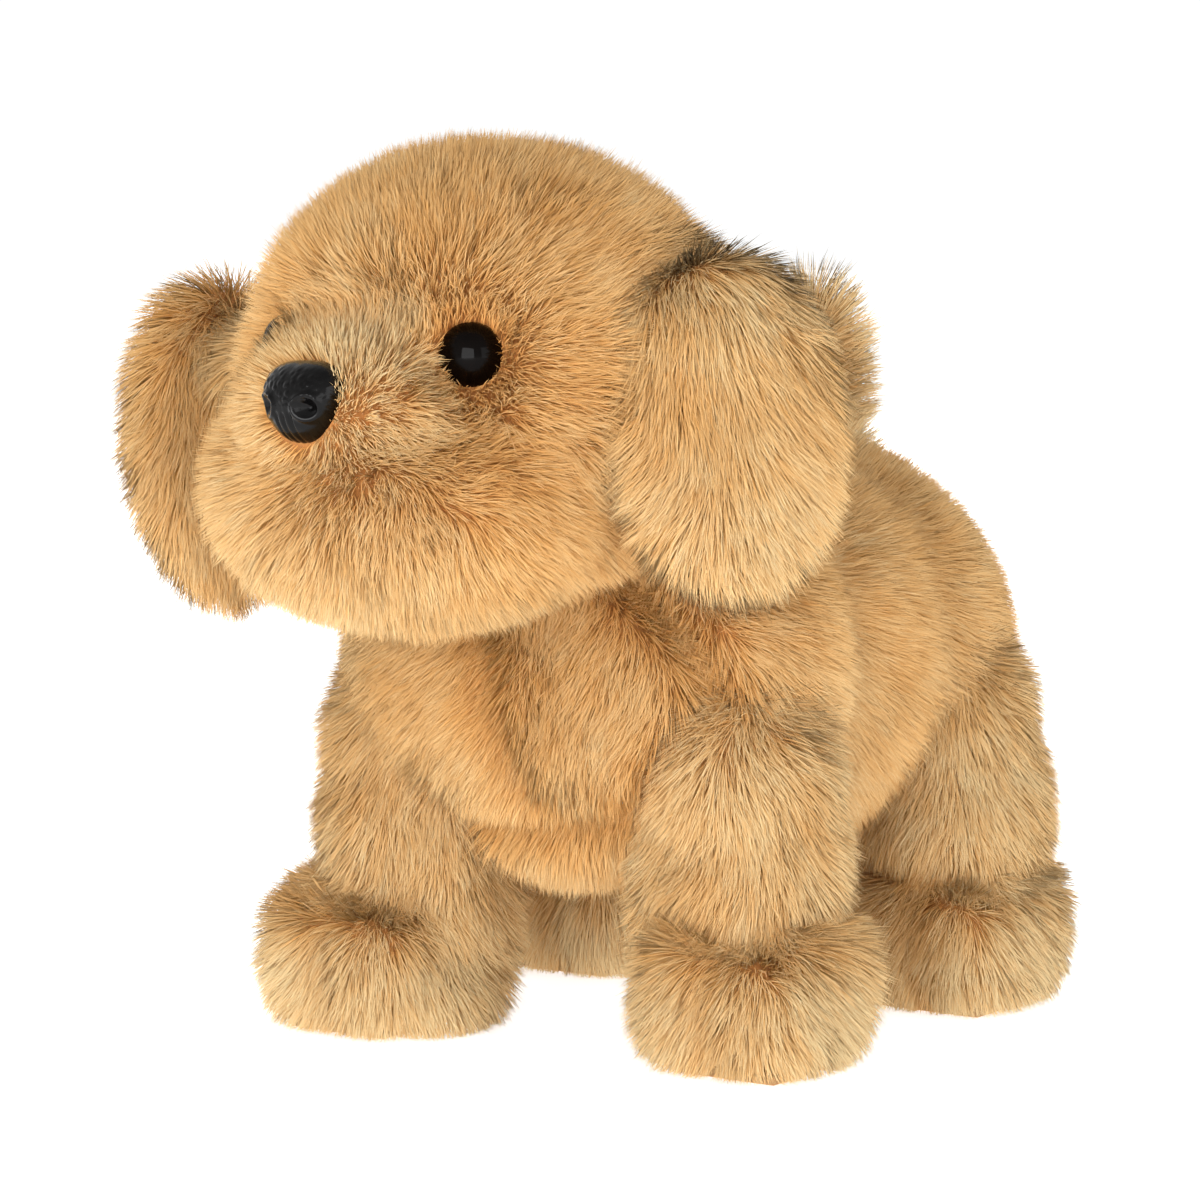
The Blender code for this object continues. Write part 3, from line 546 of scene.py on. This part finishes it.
def cut_out(piece, tool):
    """Cut a tool's shape out of a piece and drop the tool."""
    cut = piece.modifiers.new("Opening", "BOOLEAN")
    cut.operation = "DIFFERENCE"
    cut.solver = "EXACT"
    cut.object = tool
    evaluated = piece.evaluated_get(bpy.context.evaluated_depsgraph_get())
    mesh = bpy.data.meshes.new_from_object(evaluated)
    piece.modifiers.clear()
    piece.data = mesh
    bpy.data.objects.remove(tool, do_unlink=True)


def torso():
    """Chest, belly, rump and throat in one skin, with the hem and bib seams and the belly opening."""
    chest, brisket = oval(dog(0, -32, 81), (50, 32, 38)), oval(dog(0, -26, 62), (36, 30, 24))
    barrel = oval(dog(0, 4, 77), (45, 42, 36), power=2.4)
    rump = oval(dog(0, 37.5, 74.5), (46, 38.5, 39.5))
    throat = oval(dog(0, -42, 104), (32, 24, 24))
    base = skin("torso_skin", [chest, brisket, barrel, rump, throat], swell=1.5)
    hem, bib = laid_on(base, HEM), laid_on(base, BIB)
    press_in(base, [(hem, 8, 5.0), (bib, 6, 2.5)])
    base.data.materials.append(BACKING)
    set_on("body", "torso_cover", base)

    def comb(points, normals):
        back = np.array([0.0, 0.55, -0.75])
        down = np.array([0.0, 0.1, -0.8])
        front = np.clip(-normals[:, 1:2] * 1.5, 0, 1)
        way = back * (1 - front) + down * front
        for line in (hem, bib):
            gap, close = from_line(points, line, 18)
            way = way + gap * close[:, None]
        return way

    def shade(points):
        # Painted shade: the pile darkens in the hem and bib seam grooves and under the head at the chin.
        under_chin_shade = near(points, dog(2, -66, 98), 36)
        seams = np.maximum(from_line(points, hem, 8)[1], from_line(points, bib, 7)[1] * 0.6)
        return -0.24 * seams - 0.06 * under_chin_shade + 0.02

    def length(points):
        return TORSO_PILE - 3.0 * from_line(points, hem, 7)[1]

    def keep(points, normals):
        ball = (points - HEAD_CENTRE) @ HEAD_TURN / MM / NECK_BALL
        place = (points - ORIGIN) / MM
        opening = (np.abs(place[:, 0]) < BELLY_X[1] + BELLY_RIM) & (place[:, 1] > BELLY_Y[0] - BELLY_RIM)
        opening &= (place[:, 1] < BELLY_Y[1] + BELLY_RIM) & (normals[:, 2] < 0)
        return (np.linalg.norm(ball, axis=1) > 1) & ~opening

    total = fur("torso_fur", base, "body", comb, length, 0.86, shade, seed=11, keep=keep)
    cut_out(base, block("belly_opening", BELLY_X, BELLY_Y, BELLY_Z))
    return total


# ------------------------------------------------------------------ head
HEAD_PILE = 8.5                                # mm
EYE_PLACE, EYE_TURN, EYE_SIZE, EYE_CROWN = (24.5, -32.0, 6.0), 27.0, 6.3, 4.6
EYE_SEAT = (EYE_PLACE[0] - 0.5, EYE_PLACE[1] + 1.2, EYE_PLACE[2])      # set a little into its hollow
EYE_SPOTS = [head(side * EYE_PLACE[0], *EYE_PLACE[1:]) for side in (1, -1)]
NOSE_PLACE = (0.0, -50.5, -3.0)
NOSE_SPOT = head(*NOSE_PLACE)
NOSE_HALF_WIDTH, NOSE_HALF_HEIGHT, NOSE_CROWN = 10.4, 8.0, 7.0
NOSTRIL = (4.9, -0.4)                          # mm across and up
BUTTON_BACK = -1.6                             # mm behind its rim where a button's flat back lies


def head_piece():
    """Dome, cheeks and muzzle in one skin, pressed in at the brow and eyes and combed from the nose."""
    turn = (0, 0, HEAD_TURN_DEGREES)
    dome = oval(head(1.5, 1, -0.5), (44.5, 41.5, 39.5), turn)
    cheeks = oval(head(0, -21, -21), (36, 31, 20.5), turn)
    muzzle = oval(head(0, -35, -6), (21, 17, 14.5), turn)
    base = skin("head_skin", [dome, cheeks, muzzle], swell=1.5)
    brow = laid_on(base, [head(-30, -33, 13), head(-14, -38, 14), head(14, -38, 14), head(30, -33, 13)])
    press_in(base, [(brow, 10, 3.5)], [(eye, 15, 6) for eye in EYE_SPOTS])
    base.data.materials.append(BACKING)
    set_on("head", "head_cover", base)
    jowl = head(34, -38, -18)

    def comb(points, normals):
        way = unit(points - NOSE_SPOT) * 0.8
        for eye in EYE_SPOTS:
            pull = near(points, eye, 18)[:, None]
            way = way * (1 - pull) + unit(points - eye) * pull
        return way + soft_noise(points, 6.0, 77) * near(points, jowl, 26)[:, None]

    def length(points):
        long = np.full(len(points), HEAD_PILE)
        long -= 5.5 * np.sqrt(near(points, NOSE_SPOT, 20))
        for eye in EYE_SPOTS:
            long -= 2.5 * np.sqrt(near(points, eye, 13))
        return long

    def keep(points, normals):
        clear = np.linalg.norm(points - NOSE_SPOT, axis=1) > NOSE_HALF_HEIGHT * MM
        for eye in EYE_SPOTS:
            clear &= np.linalg.norm(points - eye, axis=1) > (EYE_SIZE - 0.1) * MM
        return clear

    def shade(points):
        tone = 0.22 * near(points, head(4, -44, 3), 26) + 0.08 * near(points, head(0, -34, -42), 34)
        # Painted shade: the pile darkens in the hollows round the eyes.
        for eye in EYE_SPOTS:
            tone -= 0.22 * near(points, eye, 11)
        # Painted shade: the pile also darkens along the brow crease.
        return tone - 0.05 * from_line(points, brow, 7)[1] - 0.07 * near(points, jowl, 18)

    return fur("head_fur", base, "head", comb, length, 0.88, shade, seed=31, keep=keep)


def moulding(name, place, turn, outline, crown, relief=None, rings=20, spokes=72):
    """A crowned button looking along the head's -y, swung by turn degrees, with a flat back.

    outline(angle) gives its rim as (across, up) in mm; relief(across, up) adds to the crown.
    """
    angle = np.linspace(0, 2 * math.pi, spokes, endpoint=False)
    rim = np.stack(outline(angle), -1)
    share = np.sin(np.linspace(0, math.pi / 2, rings + 1)[1:])[:, None]
    across, up = share * rim[:, 0], share * rim[:, 1]
    out = crown * (1 - share ** 2.3) ** 0.62 * np.ones_like(across)
    if relief is not None:
        out = out + relief(across, up) * (1 - share ** 12)
    rows = [np.stack([across, up, out], -1).reshape(-1, 3)]
    rows.append(np.stack([rim[:, 0], rim[:, 1], np.full(spokes, BUTTON_BACK)], -1))
    top = crown + (relief(np.zeros(1), np.zeros(1))[0] if relief is not None else 0.0)
    rows += [np.array([[0.0, 0.0, top]]), np.array([[0.0, 0.0, BUTTON_BACK]])]
    points = np.concatenate(rows)
    swing = math.radians(turn)
    side = np.array([math.cos(swing), math.sin(swing), 0.0])
    outwards = np.array([math.sin(swing), -math.cos(swing), 0.0])
    upright = np.array([0.0, 0.0, 1.0])
    local = points[:, :1] * side + points[:, 1:2] * upright + points[:, 2:] * outwards
    world = HEAD_CENTRE + (local + np.array(place)) @ HEAD_TURN.T * MM

    crown_tip, back = len(points) - 2, len(points) - 1
    faces = []
    for ring in range(rings):
        for k in range(spokes):
            a, b = ring * spokes + k, ring * spokes + (k + 1) % spokes
            faces.append((a, b, b + spokes, a + spokes))
    for k in range(spokes):
        n = (k + 1) % spokes
        faces.append((crown_tip, n, k))
        faces.append((back, rings * spokes + k, rings * spokes + n))
    mesh = bpy.data.meshes.new(name)
    mesh.from_pydata([tuple(v) for v in world], [], faces)
    bm = bmesh.new()
    bm.from_mesh(mesh)
    bmesh.ops.recalc_face_normals(bm, faces=bm.faces)
    bm.to_mesh(mesh)
    bm.free()
    mesh.shade_smooth()
    mesh.set_sharp_from_angle(angle=math.radians(55))
    return placed(name, mesh)


def nose_outline(angle):
    """A rounded triangle, wide at the top."""
    x, y = np.cos(angle), np.sin(angle)
    size = (np.abs(x) ** 2.6 + np.abs(y) ** 2.6) ** (1 / 2.6)
    x, y = x / size, y / size
    return NOSE_HALF_WIDTH * x * (0.86 + 0.18 * y - 0.05 * y * y), NOSE_HALF_HEIGHT * y


def nose_relief(across, up):
    """Pebbled leather on top, a ringed nostril on each side and three grooves below."""
    places = np.stack([across.ravel(), up.ravel(), np.zeros(across.size)], -1) * MM
    centre, _ = tufts(places, 1.25, 7)
    pebble = 0.30 - np.linalg.norm(centre - places, axis=1) / MM * 0.45
    relief = np.clip(pebble, -0.05, 0.3).reshape(across.shape) * np.clip((up + 1.5) / 2.5, 0, 1)
    for sign in (1, -1):
        gap = np.hypot(across - sign * NOSTRIL[0], up - NOSTRIL[1])
        relief = relief - 1.7 * np.clip(1.15 - gap / 1.7, 0, 1) + 0.45 * np.exp(-((gap - 2.5) / 0.55) ** 2)
    low = np.clip((-up - 1.2) / 1.5, 0, 1)
    for groove in (-1.7, 0.0, 1.7):
        relief = relief - 0.55 * low * np.exp(-((across - groove) / 0.36) ** 2)
    return relief


def eye_outline(angle):
    """A circle."""
    return EYE_SIZE * np.cos(angle), EYE_SIZE * np.sin(angle)


def face_mouldings():
    """The two eyes and the nose, each riding on the head for its CAD node."""
    for side, word in ((1, "left"), (-1, "right")):
        place = (side * EYE_SEAT[0], EYE_SEAT[1], EYE_SEAT[2])
        eye = moulding(f"eye_{word}_button", place, side * EYE_TURN, eye_outline, EYE_CROWN)
        eye.data.materials.append(EYE_GLOSS)
        set_on("head", f"eye_{word}", eye)
    nose = moulding("nose_button", NOSE_PLACE, 0, nose_outline, NOSE_CROWN, nose_relief,
                    rings=64, spokes=240)
    nose.data.materials.append(NOSE_GLOSS)
    set_on("head", "nose", nose)


# ------------------------------------------------------------------ ears
EAR_ROOT_LEAN = 46
EAR_POSES = (("ear_left", 1, (57, 6, -6), (42, 6, 13), 6, 28),
             ("ear_right", -1, (-66, -6, -15), (-43, 6, -1), -5, -5))
EAR_PILE = 9.0                                 # mm
EAR_LIFT = 0.62
EAR_MIDDLE_HEIGHT = 0.146                      # m, where the ears are darkest


def ears():
    """Long flaps hung from the sides of the head: name, side, middle, root, lean and swing."""
    total = 0
    for name, side, centre, place, lean, swing in EAR_POSES:
        turn = (0, side * -lean, HEAD_TURN_DEGREES - side * swing)
        root = head(*place)
        crest = head((place[0] + centre[0]) / 2, (place[1] + centre[1]) / 2, place[2] - 3)
        crest_reach = abs(centre[0] - place[0]) / 2 + 4
        shapes = [oval(head(*centre), (6.5, 19, 30), turn),
                  oval(crest, (crest_reach, 15, 11), (0, 0, turn[2])),
                  oval(root, (6, 15, 18), (0, side * -EAR_ROOT_LEAN, turn[2]))]
        base = skin(f"{name}_skin", shapes, relax=8, swell=1.0)
        base.data.materials.append(BACKING)
        set_on(name, name, base)

        # The pile falls away to both sides of a line down the middle of the flap, and over its top.
        spin = np.array(Matrix.Rotation(math.radians(turn[2]), 3, "Z"))
        middle = [root + np.array([-16 * side, 0, 70]) * MM,
                  head(*centre) + spin @ np.array([0, -1, 10]) * MM,
                  head(*centre) + spin @ np.array([0, -3, -24]) * MM]
        outwards = HEAD_TURN @ np.array([side, -0.2, 0.0])
        upper = crest + np.array([0, 0, 9]) * MM

        def comb(points, normals, middle=middle, outwards=outwards):
            way = from_line(points, middle, 60)[0]
            over = np.clip(normals[:, 2:], 0, 1)
            return way * 0.45 * (1 - over) + outwards * over + np.array([0.0, 0.0, -0.85])

        def shade(points, upper=upper):
            end = np.clip(np.abs(points[:, 2] - EAR_MIDDLE_HEIGHT) / 0.035, 0, 1)
            return 0.07 * end + 0.12 * near(points, upper, 24)

        def lift(points, upper=upper):
            return EAR_LIFT - 0.30 * near(points, upper, 26)

        def length(points, upper=upper):
            return EAR_PILE - 2.5 * near(points, upper, 24)

        total += fur(f"{name}_fur", base, name, comb, length, lift, shade, seed=50 + side)
    return total


# ------------------------------------------------------------------ legs
FOOT_X, LEG_X, STRIDE = 44, 41, 4              # mm; the left feet stand back and the right ones ahead
FOOT_SIZE = {1: 16.0, -1: 17.0}                # half widths, left and right
FOOT_HEIGHT, ANKLE_HEIGHT, SOLE_HEIGHT = 14, 31, 2.4
LEG_SIZE = {"front": (14.5, 15.5, 26), "rear": (16, 18.5, 28)}


def legs():
    """Four legs: hip, thigh, the cover of the leg frame's inside, and a square foot."""
    total = 0
    for end, hip_y in (("front", FRONT_HIP_Y), ("rear", REAR_HIP_Y)):
        for side, word in ((1, "left"), (-1, "right")):
            name = f"{end}_{word}_leg"
            y = hip_y + side * STRIDE
            between = (hip_y + y) / 2
            size = FOOT_SIZE[side]
            shapes = [oval(dog(side * (LEG_X - 1), hip_y, 60), (15, 16, 19)),
                      oval(dog(side * LEG_X, between, 42), LEG_SIZE[end]),
                      oval(dog(side * 29, between, 44), (7, 11, 40), power=2.6),
                      oval(dog(side * 30, y - 2, 10), (8, 12, 8.5), power=3.0),
                      oval(dog(side * FOOT_X, y - 4, 16), (size, size + 1.5, FOOT_HEIGHT), power=4.0)]
            base = skin(f"{name}_skin", shapes, floor=SOLE_HEIGHT)
            ankle = laid_on(base, [dog(side * FOOT_X - 16, y - 19, ANKLE_HEIGHT),
                                   dog(side * FOOT_X, y - 22, ANKLE_HEIGHT),
                                   dog(side * FOOT_X + 16, y - 19, ANKLE_HEIGHT)])
            toe = laid_on(base, [dog(side * FOOT_X, y - 24, z) for z in (ANKLE_HEIGHT, 22, 13, 4)])
            press_in(base, [(ankle, 7, 2.5), (toe, 5, 1.5)])
            base.data.materials.append(BACKING)
            set_on(name, f"{name}_cover", base)

            def comb(points, normals, toe=toe):
                low = np.clip((30 - points[:, 2:3] / MM) / 14, 0, 1)
                apart = np.sign(points[:, :1] - toe[1][0]) * np.array([1.0, 0.0, 0.0])
                return np.array([0.0, 0.0, -0.9]) + apart * low * 0.25

            def shade(points, toe=toe, ankle=ankle):
                foot_end = np.clip((28 - points[:, 2] / MM) / 14, 0, 1)
                # Painted shade: the pile darkens along the toe seam and in the ankle crease.
                crease_shade = 0.10 * from_line(points, toe, 5)[1] + 0.12 * from_line(points, ankle, 5)[1]
                return 0.08 - crease_shade + 0.07 * foot_end

            total += fur(f"{name}_fur", base, name, comb, leg_pile, 0.72, shade,
                         seed=70 + side + int(hip_y), keep=over_the_sole)
    return total


def leg_pile(points):
    """Pile length in mm, shorter at the sole."""
    return 6.5 + 2.0 * np.clip(points[:, 2] / MM / 18, 0, 1)


def over_the_sole(points, normals):
    """A mask for a foot's points that aren't on the ground."""
    return (points[:, 2] > (SOLE_HEIGHT + 0.4) * MM) & (normals[:, 2] > -0.95)


# ------------------------------------------------------------------ tail
TAIL_PILE = 11.0                               # mm


def tail():
    """An upright tail in two ovals, brushed to its tip."""
    shapes = [oval(dog(-2, 57, 106), (7, 8, 16)), oval(dog(-4, 58, 129), (6, 7, 21))]
    base = skin("tail_skin", shapes, relax=6)
    base.data.materials.append(BACKING)
    set_on("tail", "tail_cover", base)

    def comb(points, normals):
        return np.repeat([[0, 0.05, 0.45]], len(points), 0)

    def shade(points):
        return np.full(len(points), 0.13)

    return fur("tail_fur", base, "tail", comb, TAIL_PILE, 0.7, shade, seed=90)


# ------------------------------------------------------------------ mechanism
def slot_finishes():
    """A finish for each material slot of the record."""
    def moulded(name, colour, roughness, grain, mottle, bump):
        return finish(name, srgb(*colour), roughness, grain, mottle, bump)

    def metal(name, colour, stretch):
        return finish(name, srgb(*colour), 0.3, grain=0.3, mottle=0.12, bump=0.06, metallic=1.0,
                      stretch=stretch)

    return {
        "casing": moulded("moulded_casing", (222, 219, 212), 0.42, grain=0.5, mottle=0.03, bump=0.10),
        "nylon": moulded("moulded_nylon", (236, 234, 226), 0.36, grain=0.8, mottle=0.03, bump=0.05),
        "black_gloss": EYE_GLOSS,
        "black_rubber": moulded("black_rubber", (34, 34, 34), 0.7, grain=0.4, mottle=0.2, bump=0.25),
        "tan_rubber": moulded("tan_rubber", (176, 130, 82), 0.75, grain=0.5, mottle=0.12, bump=0.3),
        "board": finish("solder_resist", srgb(24, 92, 54), 0.3, grain=1.5, mottle=0.25, bump=0.08,
                        stretch=(1, 6, 1)),
        "cell_jacket": finish("cell_jacket", srgb(60, 64, 72), 0.28, grain=2.0, mottle=0.12, bump=0.02,
                              coat=0.4),
        "steel": metal("brushed_steel", (196, 196, 198), stretch=(0.1, 1, 1)),
        "brass": metal("turned_brass", (206, 172, 98), stretch=(1, 1, 0.1)),
        "filling": moulded("fibre_filling", (238, 236, 230), 0.95, grain=1.0, mottle=0.10, bump=0.9),
        "fur": BACKING,
    }


def dress_mechanism():
    """Give every carried-over CAD node the finish of its material slot."""
    finishes = slot_finishes()
    slots = {part["node"]: part["material_slot"] for part in frame["record"]["subparts"]}
    for name, node in frame["nodes"].items():
        for held in node.material_slots:
            held.material = finishes[slots[name]]


# ------------------------------------------------------------------ stage
LAMPS = (("key", (0.4, -1.3, 0.2), 0.7, 9.5), ("side", (1.3, -0.4, 0.3), 0.8, 3.5),
         ("back", (-0.8, 1.3, 0.6), 0.9, 9.0))             # name, place in m, side in m, watts
LAMP_AIM = Vector((0, 0, 0.09))
SKY_AT_HORIZON, SKY_OVERHEAD = 1.05, 0.45
FLOOR_SIDE, FLOOR_HEIGHT, FLOOR_GLOW = 6.0, -0.0002, 0.8


def stage():
    """A pale floor that glows a little, a white sky that fades overhead, and three soft lamps."""
    bpy.ops.mesh.primitive_plane_add(size=FLOOR_SIDE, location=(0, 0, FLOOR_HEIGHT))
    floor = bpy.context.object
    floor.name = "floor"
    paper = finish("pale_floor", (0.93, 0.93, 0.93, 1.0), 0.7, grain=3.0, mottle=0.01, bump=0.02)
    glow = paper.node_tree.nodes["Principled BSDF"].inputs
    glow["Emission Color"].default_value = (1, 1, 1, 1)
    glow["Emission Strength"].default_value = FLOOR_GLOW
    floor.data.materials.append(paper)
    sky()
    for name, place, size, power in LAMPS:
        light = bpy.data.lights.new(name, "AREA")
        light.size = size
        light.energy = power
        lamp = placed(name, light)
        lamp.location = place
        lamp.rotation_euler = (LAMP_AIM - Vector(place)).to_track_quat("-Z", "Y").to_euler()


def sky():
    """A white world that is brightest at the horizon."""
    world = bpy.data.worlds.new("studio")
    bpy.context.scene.world = world
    world.use_nodes = True
    nodes, link = world.node_tree.nodes, world.node_tree.links.new
    place = nodes.new("ShaderNodeTexCoord")
    split = nodes.new("ShaderNodeSeparateXYZ")
    fade = nodes.new("ShaderNodeMapRange")
    fade.inputs["To Min"].default_value = SKY_AT_HORIZON
    fade.inputs["To Max"].default_value = SKY_OVERHEAD
    link(place.outputs["Generated"], split.inputs["Vector"])
    link(split.outputs["Z"], fade.inputs["Value"])
    link(fade.outputs["Result"], nodes["Background"].inputs["Strength"])
    nodes["Background"].inputs["Color"].default_value = (1, 1, 1, 1)


CAMERA_AZIMUTH, CAMERA_ELEVATION = math.radians(34.5), math.radians(6.6)
CAMERA_DISTANCE, CAMERA_LENS = 1.0, 141.0      # m and mm
CAMERA_TARGET = Vector(dog(-20.4, 0.0, 86.3))


def camera():
    """A long lens, well to the left of the dog's nose and a little above."""
    level = math.cos(CAMERA_ELEVATION)
    back = Vector((math.sin(CAMERA_AZIMUTH) * level, -math.cos(CAMERA_AZIMUTH) * level,
                   math.sin(CAMERA_ELEVATION)))
    lens = bpy.data.cameras.new("camera")
    lens.sensor_width = 36.0
    lens.lens = CAMERA_LENS
    made = placed("camera", lens)
    made.location = CAMERA_TARGET + back * CAMERA_DISTANCE
    made.rotation_euler = (-back).to_track_quat("-Z", "Y").to_euler()
    bpy.context.scene.camera = made


bpy.context.scene.view_settings.view_transform = "Standard"
EYE_GLOSS = finish("eye_gloss", srgb(7, 4, 3), 0.06, grain=3.0, mottle=0.3, bump=0.0, specular=0.07)
NOSE_GLOSS = finish("nose_gloss", srgb(6, 5, 5), 0.11, grain=0.5, mottle=0.3, bump=0.10, specular=0.20)
fibres = torso() + head_piece() + ears() + legs() + tail()
print("fibres", fibres)
face_mouldings()
dress_mechanism()
stage()
camera()
